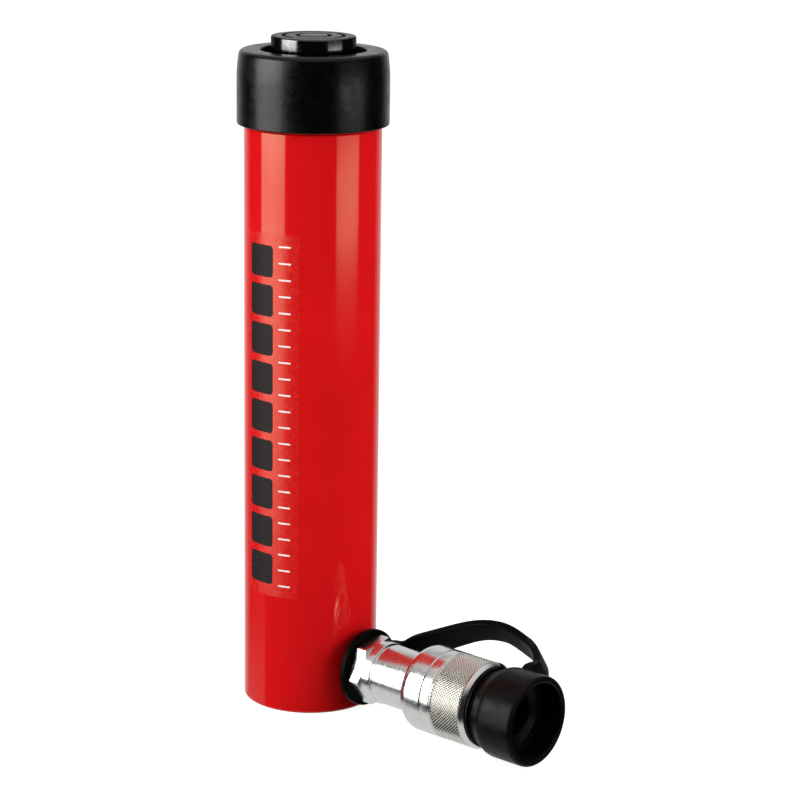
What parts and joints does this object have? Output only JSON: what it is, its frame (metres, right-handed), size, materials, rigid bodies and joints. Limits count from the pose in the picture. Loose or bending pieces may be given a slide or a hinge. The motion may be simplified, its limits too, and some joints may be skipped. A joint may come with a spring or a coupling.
{
  "type": "hydraulic cylinder",
  "caption": "Single-acting, spring-return hydraulic cylinder with a threaded collar, lift-out saddle, screw coupler and tethered rubber dust cap.",
  "frame": {"origin": "centre of the cylinder's base face", "axes": "+Z along the plunger, out of the top; +X along the oil port's axis, out of the coupler"},
  "size_m": [0.1573, 0.066, 0.284],
  "materials": {
    "red_paint": "glossy red enamel",
    "black_collar": "satin black with a fine texture",
    "black_oxide_steel": "black oxide, turned and polished",
    "bright_plating": "bright nickel plating",
    "knurled_plating": "bright plating over a diamond knurl",
    "hard_chrome": "ground hard chrome",
    "plain_steel": "machined",
    "spring_wire": "drawn wire",
    "bearing_bronze": "turned bronze",
    "black_rubber": "moulded, dull",
    "black_seal": "moulded, smooth",
    "white_ptfe": "waxy",
    "amber_polyurethane": "smooth",
    "decal_film": "thin tinted film with plain stripes"
  },
  "bodies": {
    "barrel": {"cylinder_body": "red_paint", "stop_ring": "black_oxide_steel", "rod_bearing": "bearing_bronze", "rod_wiper": "black_seal", "spring_anchor": "plain_steel", "return_spring": "spring_wire", "body_decal": "decal_film", "coupler_body": "bright_plating", "valve_guide": "plain_steel", "valve_spring": "spring_wire", "coupler_nose": "bright_plating", "nose_seal": "black_seal", "sleeve_snap_ring": "spring_wire"},
    "plunger": {"plunger": "hard_chrome", "spring_top_anchor": "plain_steel", "piston_bearing": "bearing_bronze", "backup_ring": "white_ptfe", "piston_seal": "amber_polyurethane", "seal_retaining_ring": "spring_wire"},
    "saddle": {"saddle": "black_oxide_steel", "saddle_snap_ring": "spring_wire"},
    "protector": {"thread_protector": "black_collar"},
    "coupler_sleeve": {"coupler_sleeve": "knurled_plating"},
    "valve": {"valve_poppet": "plain_steel", "poppet_seal": "black_seal"},
    "cap_tether": {"strap_ring": "black_rubber", "cap_strap": "black_rubber"},
    "dust_cap": {"dust_cap": "black_rubber"}
  },
  "joints": [
    {"name": "plunger_slide", "type": "slide", "parent": "barrel", "child": "plunger", "axis": [0, 0, 1], "range_m": [0, 0.2], "stiffness_N_per_m": 900, "springref_m": -0.1, "deforming": ["return_spring"]},
    {"name": "saddle_lift", "type": "slide", "parent": "plunger", "child": "saddle", "axis": [0, 0, 1], "range_m": [0, 0.02]},
    {"name": "protector_lift", "type": "slide", "parent": "barrel", "child": "protector", "axis": [0, 0, 1], "range_m": [0, 0.03]},
    {"name": "sleeve_spin", "type": "hinge", "parent": "barrel", "child": "coupler_sleeve", "pos_m": [0.065, 0, 0.0192], "axis": [1, 0, 0], "continuous": true},
    {"name": "valve_push", "type": "slide", "parent": "barrel", "child": "valve", "axis": [-1, 0, 0], "range_m": [0, 0.004], "stiffness_N_per_m": 1500, "springref_m": -0.004, "deforming": ["valve_spring"]},
    {"name": "tether_swivel", "type": "hinge", "parent": "barrel", "child": "cap_tether", "pos_m": [0.032, 0, 0.0192], "axis": [1, 0, 0], "range_deg": [-30, 150]},
    {"name": "cap_pull", "type": "slide", "parent": "cap_tether", "child": "dust_cap", "axis": [1, 0, 0], "range_m": [0, 0.015], "deforming": ["cap_strap"]}
  ]
}
